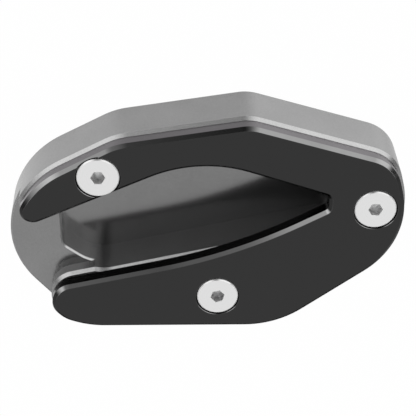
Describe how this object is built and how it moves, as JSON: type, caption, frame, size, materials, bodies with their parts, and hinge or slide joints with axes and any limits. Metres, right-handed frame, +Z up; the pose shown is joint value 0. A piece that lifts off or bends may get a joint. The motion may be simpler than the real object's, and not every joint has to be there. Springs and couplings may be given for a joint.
{
  "type": "kickstand foot enlarger",
  "caption": "Widened foot for a motorbike side stand: a milled grey base with a pocket for the stand's foot and a dark forked clamp plate held by countersunk screws.",
  "frame": {"origin": "middle of the box round the part, on the face that rests on the ground", "axes": "+X along the part from the open mouth to the toe, +Y across it to the side with the pointed crown, +Z up from the ground"},
  "size_m": [0.0952, 0.0574, 0.0172],
  "materials": {
    "base_block": "satin milled and grey anodised, with bright cut bevels",
    "clamp_plate": "fine blasted and black anodised, with satin bevels",
    "screws": "bright turned stainless steel"
  },
  "bodies": {
    "root": {"base_block": "base_block", "clamp_plate": "clamp_plate", "screw_mouth": "screws", "screw_toe": "screws", "screw_belly": "screws"}
  },
  "joints": []
}
